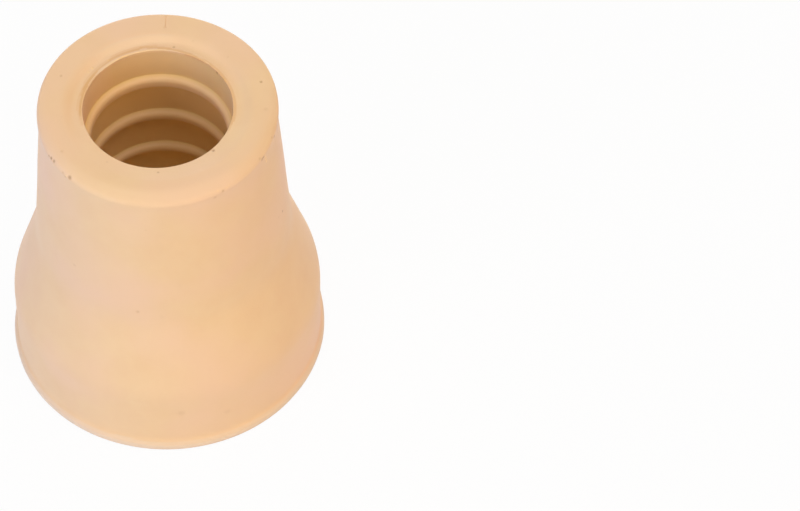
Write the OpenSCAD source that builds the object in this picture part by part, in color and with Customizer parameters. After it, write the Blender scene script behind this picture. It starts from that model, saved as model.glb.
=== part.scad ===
// Push-on rubber foot for a round cane tube: one moulding, turned about its own axis.
// It stands on its tread at z = 0, and the tube is pushed down into the ribbed socket.

/* [Overall] */
// Height from the tread to the rim
height = 47; // [44:0.5:60]

/* [Neck] */
// Diameter across the rim, at the very top
rim_d = 30.7; // [29:0.1:34]
// Rounding of the rim's outer edge
rim_edge_r = 1.1; // [0.3:0.1:2]
// Height of the rim band, which flares a little above the tapered neck
rim_band_h = 3; // [2:0.5:5]
// Hollow curve where the neck turns into the rim band
rim_band_r = 12; // [2:0.5:20]
// Diameter of the neck just below the rim band
neck_d = 30.5; // [29:0.1:33]
// Diameter where the neck runs into the shoulder
root_d = 33.5; // [32:0.1:37]
// Height of that junction above the tread
root_z = 23; // [19:0.5:28]
// Hollow curve between neck and shoulder
root_r = 12; // [2:0.5:20]

/* [Skirt] */
// Diameter of the short upright skirt
skirt_d = 40.8; // [38:0.1:46]
// Height at which the shoulder's cone would meet the skirt
shoulder_z = 11.3; // [8:0.1:14]
// Rounded bend between shoulder and skirt
shoulder_r = 14; // [2:0.5:20]

/* [Base lip] */
// How far the lip stands out beyond the skirt
lip_out = 0.7; // [0.3:0.1:2]
// Height of the lip's upright band
lip_h = 1.1; // [0.8:0.1:2]
// Height of the hollow sweep from the lip up to the skirt
lip_sweep_h = 0.7; // [0.4:0.1:2]
// Rounding of the lip's bottom edge
lip_edge_r = 0.3; // [0.1:0.05:0.5]

/* [Socket] */
// Outer diameter of the cane tube, which is the diameter of the socket's wall
tube_d = 19; // [16:0.5:22]
// Depth of the socket below the rim
socket_depth = 32; // [26:0.5:36]
// Rounding round the socket's floor
socket_floor_r = 1.5; // [0.5:0.1:3]
// Width of the shallow lead-in round the mouth
lead_in_w = 1.8; // [0.8:0.1:3]
// Depth of the lead-in
lead_in_h = 0.5; // [0.2:0.1:1.5]
// Soft edge between the rim's top face and the lead-in
lead_in_r = 3; // [0.5:0.5:5]

/* [Grip ribs] */
// How far a rib stands in from the socket's wall
rib_h = 0.75; // [0.5:0.05:0.75]
// Radius of a rib's half-round section, centred on the socket's wall
rib_r = 0.95; // [0.8:0.05:1.2]
// Depth of the first rib's middle below the rim
rib_first = 6.25; // [4:0.05:8]
// Spacing of the ribs along the socket
rib_pitch = 7; // [4:0.05:10]

/* [Tread] */
// Width of the flat ring under the lip, which the tip stands on
land_w = 1.5; // [1:0.1:4]
// Soft edge between that flat ring and the dish inside it
land_r = 5; // [1:0.5:8]
// Height to which the outer tread ring is dished at its groove
dish_h = 1.15; // [0.5:0.05:2]
// Height of the middle ring and the centre pad above the floor
pad_h = 2.25; // [1.5:0.05:3]
// Outer diameter of the outer groove
outer_groove_d = 27.4; // [24:0.1:30]
// Outer diameter of the inner groove
inner_groove_d = 13.8; // [11:0.1:16]
// Width of either groove at its mouth
groove_w = 2.55; // [2:0.05:3.2]
// Depth of either groove above the middle ring
groove_depth = 2; // [1:0.1:3]
// Slope of a groove's outer wall, so that the rubber leaves the mould
groove_draft = 14; // [5:1:18]
// Rounding at the bottom of a groove
groove_r = 0.45; // [0.1:0.05:0.5]

/* [Hidden] */
rubber = [0.93, 0.77, 0.6];
// How far a groove's cutting section reaches beyond the face that it opens
over = 1;
// Angle between neighbouring points of a rounded corner
arc_step = 5;
// Largest share of an edge that the rounding at one of its ends takes up
edge_share = 0.48;
facets = 180;
rib_facets = 48;
lip_d = skirt_d + 2 * lip_out;
land_d = lip_d - 2 * land_w;
socket_z = height - socket_depth;
lead_in_d = tube_d + 2 * lead_in_w;
// Diameter across the crests of the ribs, which grip the tube
grip_d = tube_d - 2 * rib_h;
// A rib whose middle is nearer than this to the socket's floor is left out
rib_floor_gap = socket_floor_r + rib_r;
rib_count = floor((socket_depth - rib_first - rib_floor_gap) / rib_pitch) + 1;

// A vector's direction, at length 1
function unit(v) = v / norm(v);

// A point turned about the origin
function turned(p, angle) =
    [p.x * cos(angle) - p.y * sin(angle), p.x * sin(angle) + p.y * cos(angle)];

// The arc of radius r that rounds corner b, between the straight edges to a and to c.
// It takes up less than half of either edge, so a short edge limits it.
function corner_arc(a, b, c, r) =
    let (
        to_a = unit(a - b),
        to_c = unit(c - b),
        half = acos(to_a * to_c) / 2,
        reach = min(r / tan(half), edge_share * norm(a - b), edge_share * norm(c - b)),
        hub = b + unit(to_a + to_c) * reach / cos(half),
        start = b + to_a * reach - hub,
        sweep = -sign(cross(to_a, to_c)) * (180 - 2 * half),
        steps = ceil(abs(sweep) / arc_step)
    )
    [for (i = [0 : steps]) hub + turned(start, sweep * i / steps)];

// A corner's place in the plane, without its radius
function place(corner) = [corner[0], corner[1]];

// A closed outline from corners that are given as [radius, height, rounding]
function rounded(corners) =
    let (n = len(corners))
    [
        for (i = [0 : n - 1])
            each corners[i][2] > 0
                ? corner_arc(place(corners[(i + n - 1) % n]), place(corners[i]),
                             place(corners[(i + 1) % n]), corners[i][2])
                : [place(corners[i])]
    ];

// Half-section of the moulding without its ribs and grooves: under the tread, round the
// lip, up the outside, and over the rim into the socket
module bell_section() {
    outer_r = outer_groove_d / 2;
    polygon(rounded([
        [0, pad_h, 0],
        [outer_r - groove_w, pad_h, 0],
        [outer_r, dish_h, 0],
        [land_d / 2, 0, land_r],
        [lip_d / 2, 0, lip_edge_r],
        [lip_d / 2, lip_h, lip_edge_r],
        [skirt_d / 2, lip_h + lip_sweep_h, lip_sweep_h],
        [skirt_d / 2, shoulder_z, shoulder_r],
        [root_d / 2, root_z, root_r],
        [neck_d / 2, height - rim_band_h, rim_band_r],
        [rim_d / 2, height, rim_edge_r],
        [lead_in_d / 2, height, lead_in_r],
        [tube_d / 2, height - lead_in_h, lead_in_h / 2],
        [tube_d / 2, socket_z, socket_floor_r],
        [0, socket_z, 0]
    ]));
}

// Half-section of the rib round the socket at height z: half-round, with its crest
// cut to a narrow upright land of the grip diameter
module rib_section(z) {
    difference() {
        translate([tube_d / 2, z]) circle(r = rib_r, $fn = rib_facets);
        translate([0, z - rib_r]) square([grip_d / 2, 2 * rib_r]);
    }
}

// Half-section of a ring groove: the inner wall is upright, the outer wall slopes, and
// the bottom is rounded. The groove's outer edge lies at height start_h.
module groove_section(outer_d, start_h) {
    outer_r = outer_d / 2;
    inner_r = outer_r - groove_w;
    top = pad_h + groove_depth;
    slope = tan(groove_draft);
    polygon(rounded([
        [inner_r, start_h - over, 0],
        [outer_r + over * slope, start_h - over, 0],
        [outer_r - (top - start_h) * slope, top, groove_r],
        [inner_r, top, groove_r]
    ]));
}

// Half-section of the finished tip
module tip_section() {
    difference() {
        bell_section();
        groove_section(outer_groove_d, dish_h);
        groove_section(inner_groove_d, pad_h);
    }
    for (i = [0 : rib_count - 1])
        rib_section(height - rib_first - i * rib_pitch);
}

module rubber_tip() {
    color(rubber)
        rotate_extrude($fn = facets)
            tip_section();
}

rubber_tip();
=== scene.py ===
import math
import random

import bmesh
import bpy
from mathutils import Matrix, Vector
from mathutils.kdtree import KDTree


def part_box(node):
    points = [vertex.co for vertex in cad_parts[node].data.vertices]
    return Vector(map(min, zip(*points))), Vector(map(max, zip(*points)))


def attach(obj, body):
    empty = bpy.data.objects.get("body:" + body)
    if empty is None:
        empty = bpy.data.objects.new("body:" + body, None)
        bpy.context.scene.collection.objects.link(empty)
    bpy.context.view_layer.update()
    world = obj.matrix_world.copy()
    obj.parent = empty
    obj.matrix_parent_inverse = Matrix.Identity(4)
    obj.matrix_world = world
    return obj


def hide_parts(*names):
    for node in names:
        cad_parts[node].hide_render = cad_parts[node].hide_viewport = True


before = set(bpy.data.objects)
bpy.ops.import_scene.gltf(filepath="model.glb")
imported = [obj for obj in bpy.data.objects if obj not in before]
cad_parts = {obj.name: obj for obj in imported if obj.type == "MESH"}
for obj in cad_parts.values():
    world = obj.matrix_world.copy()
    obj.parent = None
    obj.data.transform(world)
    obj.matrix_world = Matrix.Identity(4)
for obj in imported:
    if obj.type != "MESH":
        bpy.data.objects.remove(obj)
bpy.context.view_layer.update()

# Rubber cane tip: one tan moulding that stands on its tread, with the tube socket upwards.
# Lengths in the dictionaries are millimetres, turns are degrees from +X towards +Y.
mm = 0.001
cadNode = "rubber_tip"


def toLinear(hexColour):
    # sRGB hex, such as "F0C9A1", to the linear RGBA that a colour socket takes
    parts = [int(hexColour[i:i + 2], 16) / 255 for i in (0, 2, 4)]
    return [p / 12.92 if p <= 0.04045 else ((p + 0.055) / 1.055) ** 2.4 for p in parts] + [1.0]


def deselectAll():
    if bpy.context.object and bpy.context.object.mode != "OBJECT":
        bpy.ops.object.mode_set(mode="OBJECT")
    bpy.ops.object.select_all(action="DESELECT")


def addNode(tree, kind, links=None, **settings):
    # Adds a node; settings are its properties, links maps an input to a value or a socket
    node = tree.nodes.new(kind)
    for name, value in settings.items():
        setattr(node, name, value)
    for name, value in (links or {}).items():
        if isinstance(value, bpy.types.NodeSocket):
            tree.links.new(value, node.inputs[name])
        else:
            node.inputs[name].default_value = value
    return node


def pick(piece, kind, test):
    # In edit mode: selects the vertices, edges or faces that pass the test, and counts them
    bpy.ops.mesh.select_mode(type=kind)
    mesh = bmesh.from_edit_mesh(piece.data)
    count = 0
    for part in {"VERT": mesh.verts, "EDGE": mesh.edges, "FACE": mesh.faces}[kind]:
        part.select = bool(test(part))
        count += part.select
    mesh.select_flush_mode()
    bmesh.update_edit_mesh(piece.data)
    return count


def pickVerts(piece, test):
    # The same for vertices, by their place in mm
    return pick(piece, "VERT", lambda v: test(v.co / mm))


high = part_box(cadNode)[1]
tipShape = {
    "lipR": high.x / mm,            # 21.1, out to the base lip
    "height": high.z / mm,          # 47
    # tread
    "padZ": 2.25, "landR": 19.6, "landRound": 0.703, "dishZ": 1.15, "treadEdge": 0.12,
    "outerGrooveR": 13.7, "innerGrooveR": 6.9, "grooveW": 2.55, "grooveTopZ": 4.25,
    "grooveSlope": 0.25, "grooveRound": 0.42,
    # lip, skirt and shoulder
    "lipZ": 1.1, "lipEdge": 0.42, "skirtR": 20.55, "sweepZ": 1.8, "sweepRound": 0.42,
    "shoulderZ": 11.4, "shoulderRound": 1.3,
    # neck and rim
    "rootR": 16.88, "rootZ": 23, "rootRound": 1.1,
    "bandR": 15.28, "bandZ": 44, "bandRound": 1.3, "rimR": 15.39, "rimEdge": 0.4,
    # mouth: a hollow ring, a crease, then the thin flash that the core pin leaves
    "leadR": 11.95, "leadRound": 0.55, "hollowR": 10.7, "hollowDrop": 0.66,
    "hollowRound": 0.42, "creaseEndR": 10.07, "creaseEndDrop": 0.55,
    "creaseR": 9.8, "creaseDrop": 0.5, "creaseRound": 0.05,
    "flashR": 9.61, "flashDrop": 0.44, "flashRound": 0.06,
    "mouthDrop": 0.5, "mouthRound": 0.06,
    # socket and its grip ribs
    "boreR": 9.5, "floorZ": 15, "floorRound": 1.5, "crestR": 8.75,
    "ribTops": (41.74, 34.76, 27.93, 20.9), "ribHeights": (2.0, 1.76, 1.59, 1.6),
    "ribSlope": 0.48, "ribTopRound": 0.4, "ribUnderRound": 0.5, "ribRoot": 0.06,
    # mesh: longest edge of the section, steps of its turn, how near counts as on a corner,
    # how near counts as double, and the sharpest bend in degrees that is shaded smooth
    "step": 0.5, "spinSteps": 200, "same": 0.01, "weld": 0.002, "smoothAngle": 38,
}


def sectionCorners(s):
    # The half-section's corners from under the tread's middle, out, up and into the socket:
    # radius, height, reach of the rounding along either edge, and its segments
    top = s["height"]
    edge = s["treadEdge"]
    corners = [(0, s["padZ"], 0, 0)]
    for grooveR, mouthZ in ((s["innerGrooveR"], s["padZ"]), (s["outerGrooveR"], s["dishZ"])):
        innerR = grooveR - s["grooveW"]
        outerR = grooveR - (s["grooveTopZ"] - mouthZ) * s["grooveSlope"]
        corners += [
            (innerR, s["padZ"], edge, 2),
            (innerR, s["grooveTopZ"], s["grooveRound"], 4),
            (outerR, s["grooveTopZ"], s["grooveRound"], 4),
            (grooveR, mouthZ, edge, 2),
        ]
    corners += [
        (s["landR"], 0, s["landRound"], 4),
        (s["lipR"], 0, s["lipEdge"], 3),
        (s["lipR"], s["lipZ"], s["lipEdge"], 3),
        (s["skirtR"], s["sweepZ"], s["sweepRound"], 4),
        (s["skirtR"], s["shoulderZ"], s["shoulderRound"], 12),
        (s["rootR"], s["rootZ"], s["rootRound"], 6),
        (s["bandR"], s["bandZ"], s["bandRound"], 5),
        (s["rimR"], top, s["rimEdge"], 5),
        (s["leadR"], top, s["leadRound"], 5),
        (s["hollowR"], top - s["hollowDrop"], s["hollowRound"], 5),
        (s["creaseEndR"], top - s["creaseEndDrop"], 0, 0),
        (s["creaseR"], top - s["creaseDrop"], s["creaseRound"], 2),
        (s["flashR"], top - s["flashDrop"], s["flashRound"], 3),
        (s["boreR"], top - s["mouthDrop"], s["mouthRound"], 2),
    ]
    for ribTop, ribHeight in zip(s["ribTops"], s["ribHeights"]):
        corners += [
            (s["boreR"], ribTop, s["ribRoot"], 2),
            (s["crestR"], ribTop - s["ribSlope"], s["ribTopRound"], 5),
            (s["crestR"], ribTop - ribHeight, s["ribUnderRound"], 5),
            (s["boreR"], ribTop - ribHeight, s["ribRoot"], 2),
        ]
    corners += [
        (s["boreR"], s["floorZ"], s["floorRound"], 5),
        (0, s["floorZ"], 0, 0),
    ]
    return corners


def drawSection(s):
    # A plane merged to one vertex, which is then extruded from corner to corner
    corners = sectionCorners(s)
    deselectAll()
    bpy.ops.mesh.primitive_plane_add(size=2 * mm, location=(0, 0, corners[0][1] * mm))
    tip = bpy.context.object
    bpy.ops.object.transform_apply(location=True, rotation=True, scale=True)
    bpy.ops.object.mode_set(mode="EDIT")
    bpy.ops.mesh.select_all(action="SELECT")
    bpy.ops.mesh.merge(type="CENTER")
    for (r0, z0, _, _), (r1, z1, _, _) in zip(corners, corners[1:]):
        bpy.ops.mesh.extrude_region_move(
            TRANSFORM_OT_translate={"value": ((r1 - r0) * mm, 0, (z1 - z0) * mm)})
    for r, z, reach, segments in corners:          # round the corners
        if reach:
            place = Vector((r, 0, z))
            pickVerts(tip, lambda p: (p - place).length < s["same"])
            bpy.ops.mesh.bevel(affect="VERTICES", offset_type="OFFSET", offset=reach * mm,
                               segments=segments, profile=0.5)
    longest = max(e.calc_length() for e in bmesh.from_edit_mesh(tip.data).edges) / mm
    for cuts in range(math.ceil(longest / s["step"]) - 1, 0, -1):   # then share out the edges
        if pick(tip, "EDGE", lambda e: math.ceil(e.calc_length() / mm / s["step"]) - 1 == cuts):
            bpy.ops.mesh.subdivide(number_cuts=cuts)
    return tip


def turnSection(tip, s):
    bpy.ops.mesh.select_all(action="SELECT")
    bpy.ops.mesh.spin(steps=s["spinSteps"], angle=2 * math.pi, center=(0, 0, 0), axis=(0, 0, 1))
    bpy.ops.mesh.select_all(action="SELECT")
    bpy.ops.mesh.remove_doubles(threshold=s["weld"] * mm)   # the seam and both poles
    bpy.ops.mesh.normals_make_consistent(inside=False)
    bpy.ops.object.mode_set(mode="OBJECT")


tip = drawSection(tipShape)
turnSection(tip, tipShape)
tip.name = tip.data.name = "rubberTip"
print("stage 1: tip turned,", len(tip.data.polygons), "faces")


tipWear = {
    "unevenDepth": 0.09,            # how far the skin wanders in, nowhere out
    "unevenScale": 9,               # size of its humps
    # on one side the rim's face rolls down, from rollFrom out, and from rollNarrow further
    # out where that side ends
    "rollFrom": 13.3, "rollNarrow": 0.9, "rollDrop": 0.9, "rollMiddle": 275, "rollSpread": 84,
    "rollStraight": 0.57,           # share of the drop that doesn't steepen outwards
    # on the same side the hollow round the mouth is filled
    "fillMiddle": 277, "fillSpread": 74, "fillBelow": 0.2,
    # tears in the flash: their greatest depth and number, then the ranges of their turns,
    # half widths in degrees and shares of that depth, and how far in radius and below the
    # rim the flash reaches
    "flashRagged": 0.05, "flashBreaks": 16, "flashTurns": (20, 190), "flashWidths": (2, 9),
    "flashShares": (0.3, 1), "flashHalf": 0.09, "flashBelow": 0.8, "seed": 7,
}


def smoothStep(x):
    # Eases from 0 to 1 as x goes from 0 to 1
    x = min(max(x, 0), 1)
    return x * x * (3 - 2 * x)


def turnOf(p):
    return math.degrees(math.atan2(p.y, p.x)) % 360


def apart(a, b):
    # Angle between two turns
    return abs((a - b + 180) % 360 - 180)


def onSide(p, middle, spread):
    # 1 up to half a spread from the middle turn, then less, and 0 from one and a half on
    return smoothStep(1.5 - apart(turnOf(p), middle) / spread)


def raiseSkin(tip, name, rise):
    # Moves each vertex up or down by its own amount in mm
    amounts = [rise(v.co / mm) for v in tip.data.vertices]
    for way in (1, -1):
        most = max(way * a for a in amounts)
        if most <= 0:
            continue
        group = tip.vertex_groups.new(name=name)
        for index, amount in enumerate(amounts):
            if way * amount > 0:
                group.add([index], way * amount / most, "REPLACE")
        change = tip.modifiers.new(name, "DISPLACE")
        change.direction = "Z"
        change.vertex_group = group.name
        change.mid_level = 0
        change.strength = way * most * mm
        bpy.ops.object.modifier_apply(modifier=change.name)
        tip.vertex_groups.clear()


def rollRim(tip, s, w):
    # The rim's face rolls down to its outer edge, ever more steeply
    def rise(p):
        if p.z < s["bandZ"]:
            return 0
        away = apart(turnOf(p), w["rollMiddle"])
        start = w["rollFrom"] + w["rollNarrow"] * smoothStep(away / w["rollSpread"])
        across = min(max((math.hypot(p.x, p.y) - start) / (s["rimR"] - start), 0), 1)
        curve = w["rollStraight"] * across + (1 - w["rollStraight"]) * across ** 2
        up = smoothStep((p.z - s["bandZ"]) / (s["height"] - s["bandZ"] - s["rimEdge"]))
        return -w["rollDrop"] * curve * up * onSide(p, w["rollMiddle"], w["rollSpread"])

    raiseSkin(tip, "roll", rise)


def fillHollow(tip, s, w):
    # The hollow ring and the flash round the mouth run out into a plain slope
    lowest = s["height"] - s["mouthDrop"]

    def rise(p):
        r = math.hypot(p.x, p.y)
        if p.z < lowest - w["fillBelow"] or not s["boreR"] < r < s["leadR"] + s["leadRound"]:
            return 0
        slope = lowest + s["mouthDrop"] * min((r - s["boreR"]) / (s["leadR"] - s["boreR"]), 1)
        return (slope - p.z) * onSide(p, w["fillMiddle"], w["fillSpread"])

    raiseSkin(tip, "fill", rise)


def raggedFlash(tip, s, w):
    # The flash is torn off by hand, so its height changes from place to place
    chance = random.Random(w["seed"])
    bpy.ops.object.mode_set(mode="EDIT")
    for _ in range(w["flashBreaks"]):
        middle, width = chance.uniform(*w["flashTurns"]), chance.uniform(*w["flashWidths"])
        drop = chance.uniform(*w["flashShares"]) * w["flashRagged"]
        if pickVerts(tip, lambda p: p.z > s["height"] - w["flashBelow"]
                     and abs(math.hypot(p.x, p.y) - s["flashR"]) < w["flashHalf"]
                     and apart(turnOf(p), middle) < width):
            bpy.ops.transform.translate(value=(0, 0, -drop * mm))
    bpy.ops.object.mode_set(mode="OBJECT")


def unevenSkin(tip, w):
    # Rubber shrinks a little unevenly as it cools out of the mould
    cloud = bpy.data.textures.new("skin", "CLOUDS")
    cloud.noise_scale = w["unevenScale"] * mm
    cloud.noise_depth = 1
    change = tip.modifiers.new("skin", "DISPLACE")
    change.texture = cloud
    change.texture_coords = "LOCAL"
    change.mid_level = 1
    change.strength = w["unevenDepth"] * mm
    bpy.ops.object.modifier_apply(modifier=change.name)


rollRim(tip, tipShape, tipWear)
fillHollow(tip, tipShape, tipWear)
raggedFlash(tip, tipShape, tipWear)
unevenSkin(tip, tipWear)
print("stage 2: rim rolled, skin uneven")


tipMarks = {
    # specks on the rim's face: turn, radius, size, darkness, depth
    "top": [
        (80.7, 10.35, 0.27, 0.36, 0.04), (17.7, 13.63, 0.27, 0.48, 0.05),
        (159.0, 13.37, 0.3, 0.22, 0.02), (43.5, 11.96, 0.2, 0.1, 0.01),
        (69.4, 11.66, 0.2, 0.07, 0.01), (272.3, 10.4, 0.26, 0.34, 0.03),
        (316.9, 9.9, 0.3, 0.6, 0.06), (235.7, 10.68, 0.24, 0.13, 0.01),
        (188.8, 12.2, 0.2, 0.06, 0.01), (212.4, 13.86, 0.32, 0.15, 0.01),
        (358.7, 13.7, 0.42, 0.1, 0),
    ],
    # specks, nicks and smudges on the outside: turn, height, size, darkness, depth
    "side": [
        (209.1, 46.02, 0.26, 0.48, 0.03), (211.1, 46.12, 0.34, 0.62, 0.03),
        (213.5, 46.18, 0.34, 0.52, 0.03), (221.1, 45.97, 0.3, 0.16, 0.01),
        (223.0, 45.7, 0.26, 0.26, 0.02), (225.7, 46.08, 0.44, 0.5, 0.04),
        (329.5, 46.15, 0.3, 0.2, 0.02), (331.0, 45.75, 0.4, 0.42, 0.03),
        (332.3, 45.75, 0.26, 0.5, 0.03), (345.6, 45.79, 0.34, 0.62, 0.03),
        (343.2, 46.3, 0.24, 0.16, 0.02), (304.2, 45.9, 0.3, 0.26, 0.03),
        (299.8, 45.4, 0.36, 0.16, 0.02), (260.6, 25.19, 0.4, 0.18, 0.02),
        (228.5, 29.51, 0.34, 0.13, 0.01), (266.0, 41.26, 0.26, 0.07, 0.01),
        (345.4, 30.63, 0.26, 0.6, 0.03), (340.1, 31.2, 0.24, 0.16, 0.01),
        (277.0, 7.9, 0.8, 0.1, 0), (294.4, 5.9, 0.7, 0.07, 0), (271.2, 24.5, 0.5, 0.03, 0),
    ],
    # a speck on the socket's wall: turn, height, size, darkness, depth
    "bore": [(40.0, 46.2, 0.3, 0.6, 0.05)],
    # pale flecks on the rim's face: turn, radius, size, strength, lift
    "flecks": [
        (142.8, 10.79, 0.28, 0.5, 0.03), (147.0, 10.79, 0.28, 0.3, 0.02),
        (130.0, 10.34, 0.22, 0.4, 0.02),
    ],
    # torn edges that stand up a little and look paler: turn, height, size, strength, lift
    "frays": [
        (334.0, 45.4, 0.3, 1.0, 0.03), (334.7, 44.7, 0.32, 1.0, 0.04),
        (335.4, 44.0, 0.3, 1.0, 0.03), (306.6, 46.05, 0.24, 0.2, 0.01),
        (308.0, 46.15, 0.22, 0.2, 0.01), (301.8, 46.2, 0.22, 0.3, 0.01),
        (223.6, 45.95, 0.22, 0.6, 0.02), (213.4, 45.45, 0.24, 0.6, 0.02),
        (344.6, 45.1, 0.24, 0.7, 0.03),
    ],
    # mesh round the marks, how far it is refined, and where they are cast onto the skin from
    "speckMesh": 0.09, "speckReach": 0.45, "castHeight": 60, "castRadius": 40,
    # a mark's soft edge: share of its size, and share of its strength within that
    "softEdge": ((0.95, 0.12), (0.75, 0.4), (0.55, 0.75), (0.35, 1)),
    "pressed": 0.35, "follows": 0.6,    # shares of a mark's size: what moves, what follows it
    # a short split that runs in from the rim's edge and forks at its end: turn and radius
    # of each stretch's two ends
    "split": [
        ((87.9, 15.3), (87.9, 13.1)), ((87.9, 13.15), (88.5, 12.95)),
        ((87.9, 13.15), (87.2, 12.95)),
    ],
    "splitWidth": 0.1, "splitDepth": 0.06, "splitStain": 0.08,
    "splitMesh": 0.07, "splitReach": 0.4, "splitBelow": 1.5,
    # rings painted with an attribute: its name, strength at the ring's ends and in its middle,
    # from and to radius, from and to height, middle turn, how far it runs to either side,
    # and how far its radius has changed there
    "rings": [
        # painted shade: darker in the crease, in the hollow and just below the flash
        ("grime", 0, 0.5, (9.5, 9.85), (46, 46.7), 20, 45, 0),
        ("grime", 0, 0.25, (9.95, 10.5), (46, 46.7), 145, 52, -0.3),
        ("grime", 0, 0.2, (9.6, 10.1), (46, 46.7), 75, 25, 0.35),
        ("grime", 0.2, 0.6, (9.83, 10.2), (46, 46.7), 145, 52, -0.3),
        ("grime", 0.6, 0.85, (9.72, 10.05), (46, 46.7), 167, 22, -0.08),
        ("grime", 0.45, 0.6, (9.6, 9.97), (46, 46.7), 75, 25, 0.35),
        ("grime", 0, 0.45, (9.45, 9.7), (46.3, 46.8), 168, 26, 0),
        # painted highlights: a pale line on the flash, and a paler band on the slope outside it
        ("thin", 0, 0.5, (9.54, 9.82), (46.3, 46.8), 110, 27, 0),
        ("thin", 0, 0.1, (10.7, 11.7), (46.2, 47.1), 107, 28, 0),
        ("scuff", 0, 0.25, (10.7, 11.9), (46.2, 47.1), 107, 28, 0),
        # painted shade: the socket's wall, floor and ribs take a darker, more saturated colour
        # for light bounced inside it, more on the right wall, less on the left, to offset the
        # lamps
        ("inside", 0, 1, (9.3, 9.75), (14.5, 42), 0, 180, 0),
        ("inside", 0, 0.65, (9.3, 9.75), (42, 46.4), 0, 180, 0),
        ("inside", 0.65, 1, (9.3, 9.75), (42, 46.4), 355, 62, 0),
        ("inside", 0.65, 0.3, (9.3, 9.75), (42, 46.4), 185, 55, 0),
        ("inside", 0, 1, (0, 9.3), (14.5, 17), 0, 180, 0),
        ("inside", 0, 0.25, (8, 9.3), (17, 43), 0, 180, 0),
        # the base lip paler and greyer: rubbed, and partly a painted highlight
        ("scuff", 0, 0.5, (20.62, 20.98), (1.05, 1.6), 0, 180, 0),
        ("scuff", 0, 1, (20.5, 21.2), (-0.1, 1.12), 0, 180, 0),
        # painted shade along the lip's lowest edge, where it meets the floor
        ("speck", 0, 0.07, (20.5, 21.2), (0.25, 0.5), 0, 180, 0),
        ("speck", 0, 0.2, (20.3, 21.2), (-0.1, 0.25), 0, 180, 0),
    ],
    # an open ring's fading ends: share of its length, and share of the way to full strength
    "ringEnds": ((1, 0.33), (0.9, 0.67), (0.8, 1)),
}


def polar(turn, r, z):
    # A place in mm from its turn, radius and height
    return Vector((r * math.cos(math.radians(turn)), r * math.sin(math.radians(turn)), z))


def paint(piece, name, value):
    # Gives the selected vertices a value in the named attribute
    piece.data.attributes.active = piece.data.attributes[name]
    bpy.ops.mesh.attribute_set(value_float=value)


mostCuts = 5    # no edge is split further at one go


def refine(piece, test, spacing):
    # Subdivides the faces whose middle passes the test down to that spacing, in mm
    if not pick(piece, "FACE", lambda f: test(f.calc_center_median() / mm)):
        return
    chosen = [f for f in bmesh.from_edit_mesh(piece.data).faces if f.select]
    longest = max(e.calc_length() for f in chosen for e in f.edges) / mm
    cuts = math.ceil(longest / spacing) - 1
    if cuts > 0:
        bpy.ops.mesh.subdivide(number_cuts=min(cuts, mostCuts))


def pickListed(piece, listed):
    # In edit mode: selects the vertices with the listed numbers
    bpy.ops.mesh.select_all(action="DESELECT")
    mesh = bmesh.from_edit_mesh(piece.data)
    mesh.verts.ensure_lookup_table()
    for index in listed:
        mesh.verts[index].select = True
    mesh.select_flush_mode()
    bmesh.update_edit_mesh(piece.data)
    return len(listed)


def findSkin(piece, start, way):
    # Where a ray from a place in mm meets the skin: place in mm and normal
    _, place, normal, _ = piece.ray_cast(start * mm, way)
    return place / mm, normal.copy()


def markSpecks(piece, m):
    # The skin round each mark is refined, then a speck is stained and pressed in, and a
    # torn edge is made paler and lifted
    spots = []
    down = Vector((0, 0, -1))
    for kind, name, sign in (("top", "speck", -1), ("side", "speck", -1), ("bore", "speck", -1),
                             ("flecks", "thin", 1), ("frays", "thin", 1)):
        for turn, at, size, strength, lift in m[kind]:
            outwards = polar(turn, 1, 0)
            if kind in ("top", "flecks"):
                place, normal = findSkin(piece, polar(turn, at, m["castHeight"]), down)
            elif kind == "bore":
                place, normal = findSkin(piece, polar(turn, 0, at), outwards)
            else:
                place, normal = findSkin(piece, polar(turn, m["castRadius"], at), -outwards)
            spots.append((place, normal, size, name, strength, sign * lift))
    nearest = KDTree(len(spots))
    for i, spot in enumerate(spots):
        nearest.insert(spot[0], i)
    nearest.balance()

    def isNear(p):
        _, i, distance = nearest.find(p)
        return distance < spots[i][2] / 2 + m["speckReach"]

    bpy.ops.object.mode_set(mode="EDIT")
    refine(piece, isNear, m["speckMesh"])
    around = [[] for _ in spots]
    for v in bmesh.from_edit_mesh(piece.data).verts:
        _, i, distance = nearest.find(v.co / mm)
        if distance < spots[i][2]:
            around[i].append((distance, v.index))
    bpy.ops.mesh.select_mode(type="VERT")
    for (place, normal, size, name, strength, lift), found in zip(spots, around):
        for share, part in m["softEdge"]:
            if pickListed(piece, [i for distance, i in found if distance < size * share]):
                paint(piece, name, strength * part)
        if pickListed(piece, [i for distance, i in found if distance < size * m["pressed"]]):
            bpy.ops.transform.translate(value=normal * lift * mm, use_proportional_edit=True,
                                        proportional_edit_falloff="SMOOTH",
                                        proportional_size=size * m["follows"] * mm)
    bpy.ops.object.mode_set(mode="OBJECT")


def fromLine(p, a, b):
    # Distance in plan from a stretch of line between two [turn, radius] ends
    a, b = polar(*a, 0), polar(*b, 0)
    flat = Vector((p.x, p.y, 0))
    share = min(max((flat - a).dot(b - a) / (b - a).length_squared, 0), 1)
    return (flat - a - (b - a) * share).length


def markSplit(piece, m, s):
    upper = s["height"] - m["splitBelow"]

    def within(reach):
        return lambda p: p.z > upper and min(fromLine(p, *l) for l in m["split"]) < reach

    bpy.ops.object.mode_set(mode="EDIT")
    refine(piece, within(m["splitReach"]), m["splitMesh"])
    if pickVerts(piece, within(m["splitWidth"])):
        paint(piece, "speck", m["splitStain"])
    pickVerts(piece, within(m["splitWidth"] / 2))
    bpy.ops.transform.translate(value=(0, 0, -m["splitDepth"] * mm))
    bpy.ops.object.mode_set(mode="OBJECT")


def inRing(p, ring, share):
    # Whether a place lies in that share of the ring's length
    (r0, r1), (z0, z1), middle, reach, change = ring
    away = (turnOf(p) - middle + 180) % 360 - 180
    r = math.hypot(p.x, p.y) - change * away / reach
    return z0 < p.z < z1 and r0 < r < r1 and abs(away) <= reach * share


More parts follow.
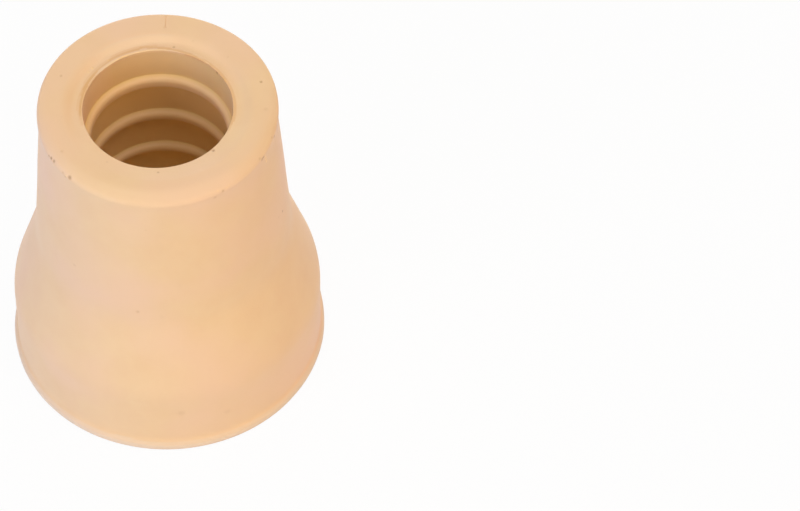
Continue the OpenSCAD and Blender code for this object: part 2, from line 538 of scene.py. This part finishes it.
def markRings(piece, m):
    bpy.ops.object.mode_set(mode="EDIT")
    for name, ends, strength, *ring in m["rings"]:
        isClosed = ring[3] == 180
        for share, part in ((1, 1),) if isClosed else m["ringEnds"]:
            if pickVerts(piece, lambda p: inRing(p, ring, share)):
                paint(piece, name, ends + (strength - ends) * part)
    bpy.ops.object.mode_set(mode="OBJECT")


for name in ("speck", "grime", "inside", "thin", "scuff"):
    tip.data.attributes.new(name, "FLOAT", "POINT")
markRings(tip, tipMarks)
markSplit(tip, tipMarks, tipShape)
markSpecks(tip, tipMarks)
bpy.ops.object.shade_smooth_by_angle(angle=math.radians(tipShape["smoothAngle"]))
print("stage 3: marks pressed,", len(tip.data.polygons), "faces")


# Tan gum rubber, compression moulded: one solid colour with faint clouds in it, a fine
# pressed grain from the mould's steel, and a dull soft sheen.
# Painted shade and painted highlights are mixed into its colour as well.
rubberLook = {
    "pale": "F2CD9D", "shade": "F0C999", "pink": "F3CBA4",
    # swirls of the mixed compound, and its slower drift in colour across the tip
    "cloudSize": 4.5, "cloudRange": (0.38, 0.68), "pinkSize": 14, "pinkRange": (0.45, 0.7),
    # the mould's grain is about 0.05 mm wide, too fine to show, so it is drawn coarser
    "grainSize": 0.25, "grainDepth": 0.012,
    "waveSize": 2.5, "waveDepth": 0.05,         # shallow waves where the rubber flowed
    "ior": 1.52,                                # natural rubber
    "roughness": 0.55, "smoother": 0.06, "rougher": 0.08,   # matt to satin
    "sheen": 0.15, "sheenRoughness": 0.5, "sheenTint": "E8E6FF",    # a bloom of wax
    # painted shade in the socket and the crease; rubbed and pale rubber, both also painted
    # highlight
    "socket": "ECC888", "creaseShadeColour": "E2AB68", "scuff": "EDD2B4", "thin": "FFD898",
    # the stains' colours also paint the shade along the lip's lowest edge
    "speckPale": "B07200", "speck": "6A3700",   # faint and strong stains
}


def mouldedRubber(look):
    # A colour Mix takes its colours in inputs 6 and 7 and gives the result in output 2
    material = bpy.data.materials.new("mouldedTanRubber")
    material.use_nodes = True
    tree = material.node_tree
    tree.nodes.clear()
    place = addNode(tree, "ShaderNodeTexCoord").outputs["Object"]
    noise = {}
    for name, detail, breakUp in (("cloud", 4, 0.55), ("pink", 2, 0.5),
                                  ("grain", 2, 0.6), ("wave", 2, 0.5)):
        noise[name] = addNode(tree, "ShaderNodeTexNoise", {
            "Vector": place, "Scale": 1 / (look[name + "Size"] * mm), "Detail": detail,
            "Roughness": breakUp}).outputs["Fac"]
    colour = toLinear(look["pale"])
    for name, tint in (("cloud", "shade"), ("pink", "pink")):
        lowest, highest = look[name + "Range"]
        share = addNode(tree, "ShaderNodeMapRange", {
            "Value": noise[name], "From Min": lowest, "From Max": highest})
        colour = addNode(tree, "ShaderNodeMix", {
            "Factor": share.outputs["Result"], 6: colour, 7: toLinear(look[tint])},
            data_type="RGBA").outputs[2]
    # painted shade in the socket and the crease; rubbed and pale rubber with painted highlights
    for name, tint in (("inside", "socket"), ("grime", "creaseShadeColour"), ("scuff", "scuff"),
                       ("thin", "thin")):
        share = addNode(tree, "ShaderNodeAttribute", attribute_name=name)
        colour = addNode(tree, "ShaderNodeMix", {
            "Factor": share.outputs["Fac"], 6: colour, 7: toLinear(look[tint])},
            data_type="RGBA").outputs[2]
    # stains, and the painted shade along the lip's lowest edge
    speckle = addNode(tree, "ShaderNodeAttribute", attribute_name="speck").outputs["Fac"]
    stain = addNode(tree, "ShaderNodeMix", {
        "Factor": speckle, 6: toLinear(look["speckPale"]), 7: toLinear(look["speck"])},
        data_type="RGBA").outputs[2]
    colour = addNode(tree, "ShaderNodeMix", {
        "Factor": speckle, 6: colour, 7: stain}, data_type="RGBA").outputs[2]
    rough = addNode(tree, "ShaderNodeMapRange", {
        "Value": noise["grain"], "To Min": look["roughness"] - look["smoother"],
        "To Max": look["roughness"] + look["rougher"]})
    waveBump = addNode(tree, "ShaderNodeBump", {
        "Height": noise["wave"], "Distance": look["waveDepth"] * mm, "Strength": 1.0})
    grainBump = addNode(tree, "ShaderNodeBump", {
        "Height": noise["grain"], "Distance": look["grainDepth"] * mm, "Strength": 1.0,
        "Normal": waveBump.outputs["Normal"]})
    skin = addNode(tree, "ShaderNodeBsdfPrincipled", {
        "Base Color": colour, "Roughness": rough.outputs["Result"], "IOR": look["ior"],
        "Sheen Weight": look["sheen"], "Sheen Roughness": look["sheenRoughness"],
        "Sheen Tint": toLinear(look["sheenTint"]), "Normal": grainBump.outputs["Normal"]})
    addNode(tree, "ShaderNodeOutputMaterial", {"Surface": skin.outputs["BSDF"]})
    return material


tip.data.materials.append(mouldedRubber(rubberLook))
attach(tip, "root")
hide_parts(cadNode)
print("stage 4: rubber made")


cameraPlace = {
    "place": (24.97, -302.05, 422.11), "turn": (36.619, -0.871, 0.0),
    "lens": 171, "sensor": 36, "nearest": 10,
}
camera = bpy.data.objects.new("camera", bpy.data.cameras.new("camera"))
bpy.context.scene.collection.objects.link(camera)
camera.location = Vector(cameraPlace["place"]) * mm
camera.rotation_euler = [math.radians(a) for a in cameraPlace["turn"]]
camera.data.lens = cameraPlace["lens"]
camera.data.sensor_width = cameraPlace["sensor"]
camera.data.clip_start = cameraPlace["nearest"] * mm
bpy.context.scene.camera = camera


studio = {
    "floorSize": 3000, "floor": "F4F4F4",
    "floorWhite": 0.94,             # what is left of 1 lets the object's shadow show
    "sky": 0.2, "lampSize": 450, "aim": (0, 0, 25),
    # name: place, strength (W), colour
    "lamps": {
        "overhead": ((0, -50, 900), 2.25, "F6FFF4"),
        "overheadRight": ((330, -60, 840), 1.3, "FBE8DC"),
        "left": ((-740, -160, 130), 1.75, "ABB8FF"),
        "right": ((740, -160, 130), 0.27, "FF5420"),
        "front": ((0, -750, 130), 1.12, "A2ECFF"),
        "behind": ((0, 740, 130), 2.9, "FAF6F2"),
        "leftAbove": ((-500, -550, 350), 1.88, "FAEEFA"),
        "rightAbove": ((500, -550, 350), 1.85, "FBCB8E"),
    },
}


def seenDirectly(tree):
    # 1 for rays from the camera, in a reflection or through glass, 0 for light
    path = addNode(tree, "ShaderNodeLightPath")
    first = addNode(tree, "ShaderNodeMath", {
        0: path.outputs["Is Camera Ray"], 1: path.outputs["Is Glossy Ray"]},
        operation="MAXIMUM")
    return addNode(tree, "ShaderNodeMath", {
        0: first.outputs[0], 1: path.outputs["Is Transmission Ray"]},
        operation="MAXIMUM").outputs[0]


def makeFloor(s):
    deselectAll()
    bpy.ops.mesh.primitive_plane_add(size=s["floorSize"] * mm, location=(0, 0, 0))
    floor = bpy.context.object
    floor.name = "floor"
    material = bpy.data.materials.new("paleFloor")
    material.use_nodes = True
    tree = material.node_tree
    tree.nodes.clear()
    matt = addNode(tree, "ShaderNodeBsdfDiffuse", {"Color": toLinear(s["floor"])})
    white = addNode(tree, "ShaderNodeEmission", {"Color": (1, 1, 1, 1), "Strength": 1.0})
    share = addNode(tree, "ShaderNodeMath", {
        0: seenDirectly(tree), 1: s["floorWhite"]}, operation="MULTIPLY")
    both = addNode(tree, "ShaderNodeMixShader", {
        0: share.outputs[0], 1: matt.outputs[0], 2: white.outputs[0]})
    addNode(tree, "ShaderNodeOutputMaterial", {"Surface": both.outputs[0]})
    floor.data.materials.append(material)


def makeSky(s):
    world = bpy.data.worlds.new("studio")
    bpy.context.scene.world = world
    world.use_nodes = True
    tree = world.node_tree
    tree.nodes.clear()
    light, white = [addNode(tree, "ShaderNodeBackground", {
        "Color": (1, 1, 1, 1), "Strength": strength}) for strength in (s["sky"], 1.0)]
    both = addNode(tree, "ShaderNodeMixShader", {
        0: seenDirectly(tree), 1: light.outputs[0], 2: white.outputs[0]})
    addNode(tree, "ShaderNodeOutputWorld", {"Surface": both.outputs[0]})


def makeLamps(s):
    for name, (place, strength, colour) in s["lamps"].items():
        lamp = bpy.data.lights.new(name, "AREA")
        lamp.size = s["lampSize"] * mm
        lamp.energy = strength
        lamp.color = toLinear(colour)[:3]
        lampObject = bpy.data.objects.new(name, lamp)
        bpy.context.scene.collection.objects.link(lampObject)
        lampObject.location = Vector(place) * mm
        away = Vector(place) - Vector(s["aim"])
        lampObject.rotation_euler = away.to_track_quat("Z", "Y").to_euler()


makeFloor(studio)
makeSky(studio)
makeLamps(studio)
bpy.context.scene.view_settings.view_transform = "Standard"
print("stage 5: camera, floor and light set")
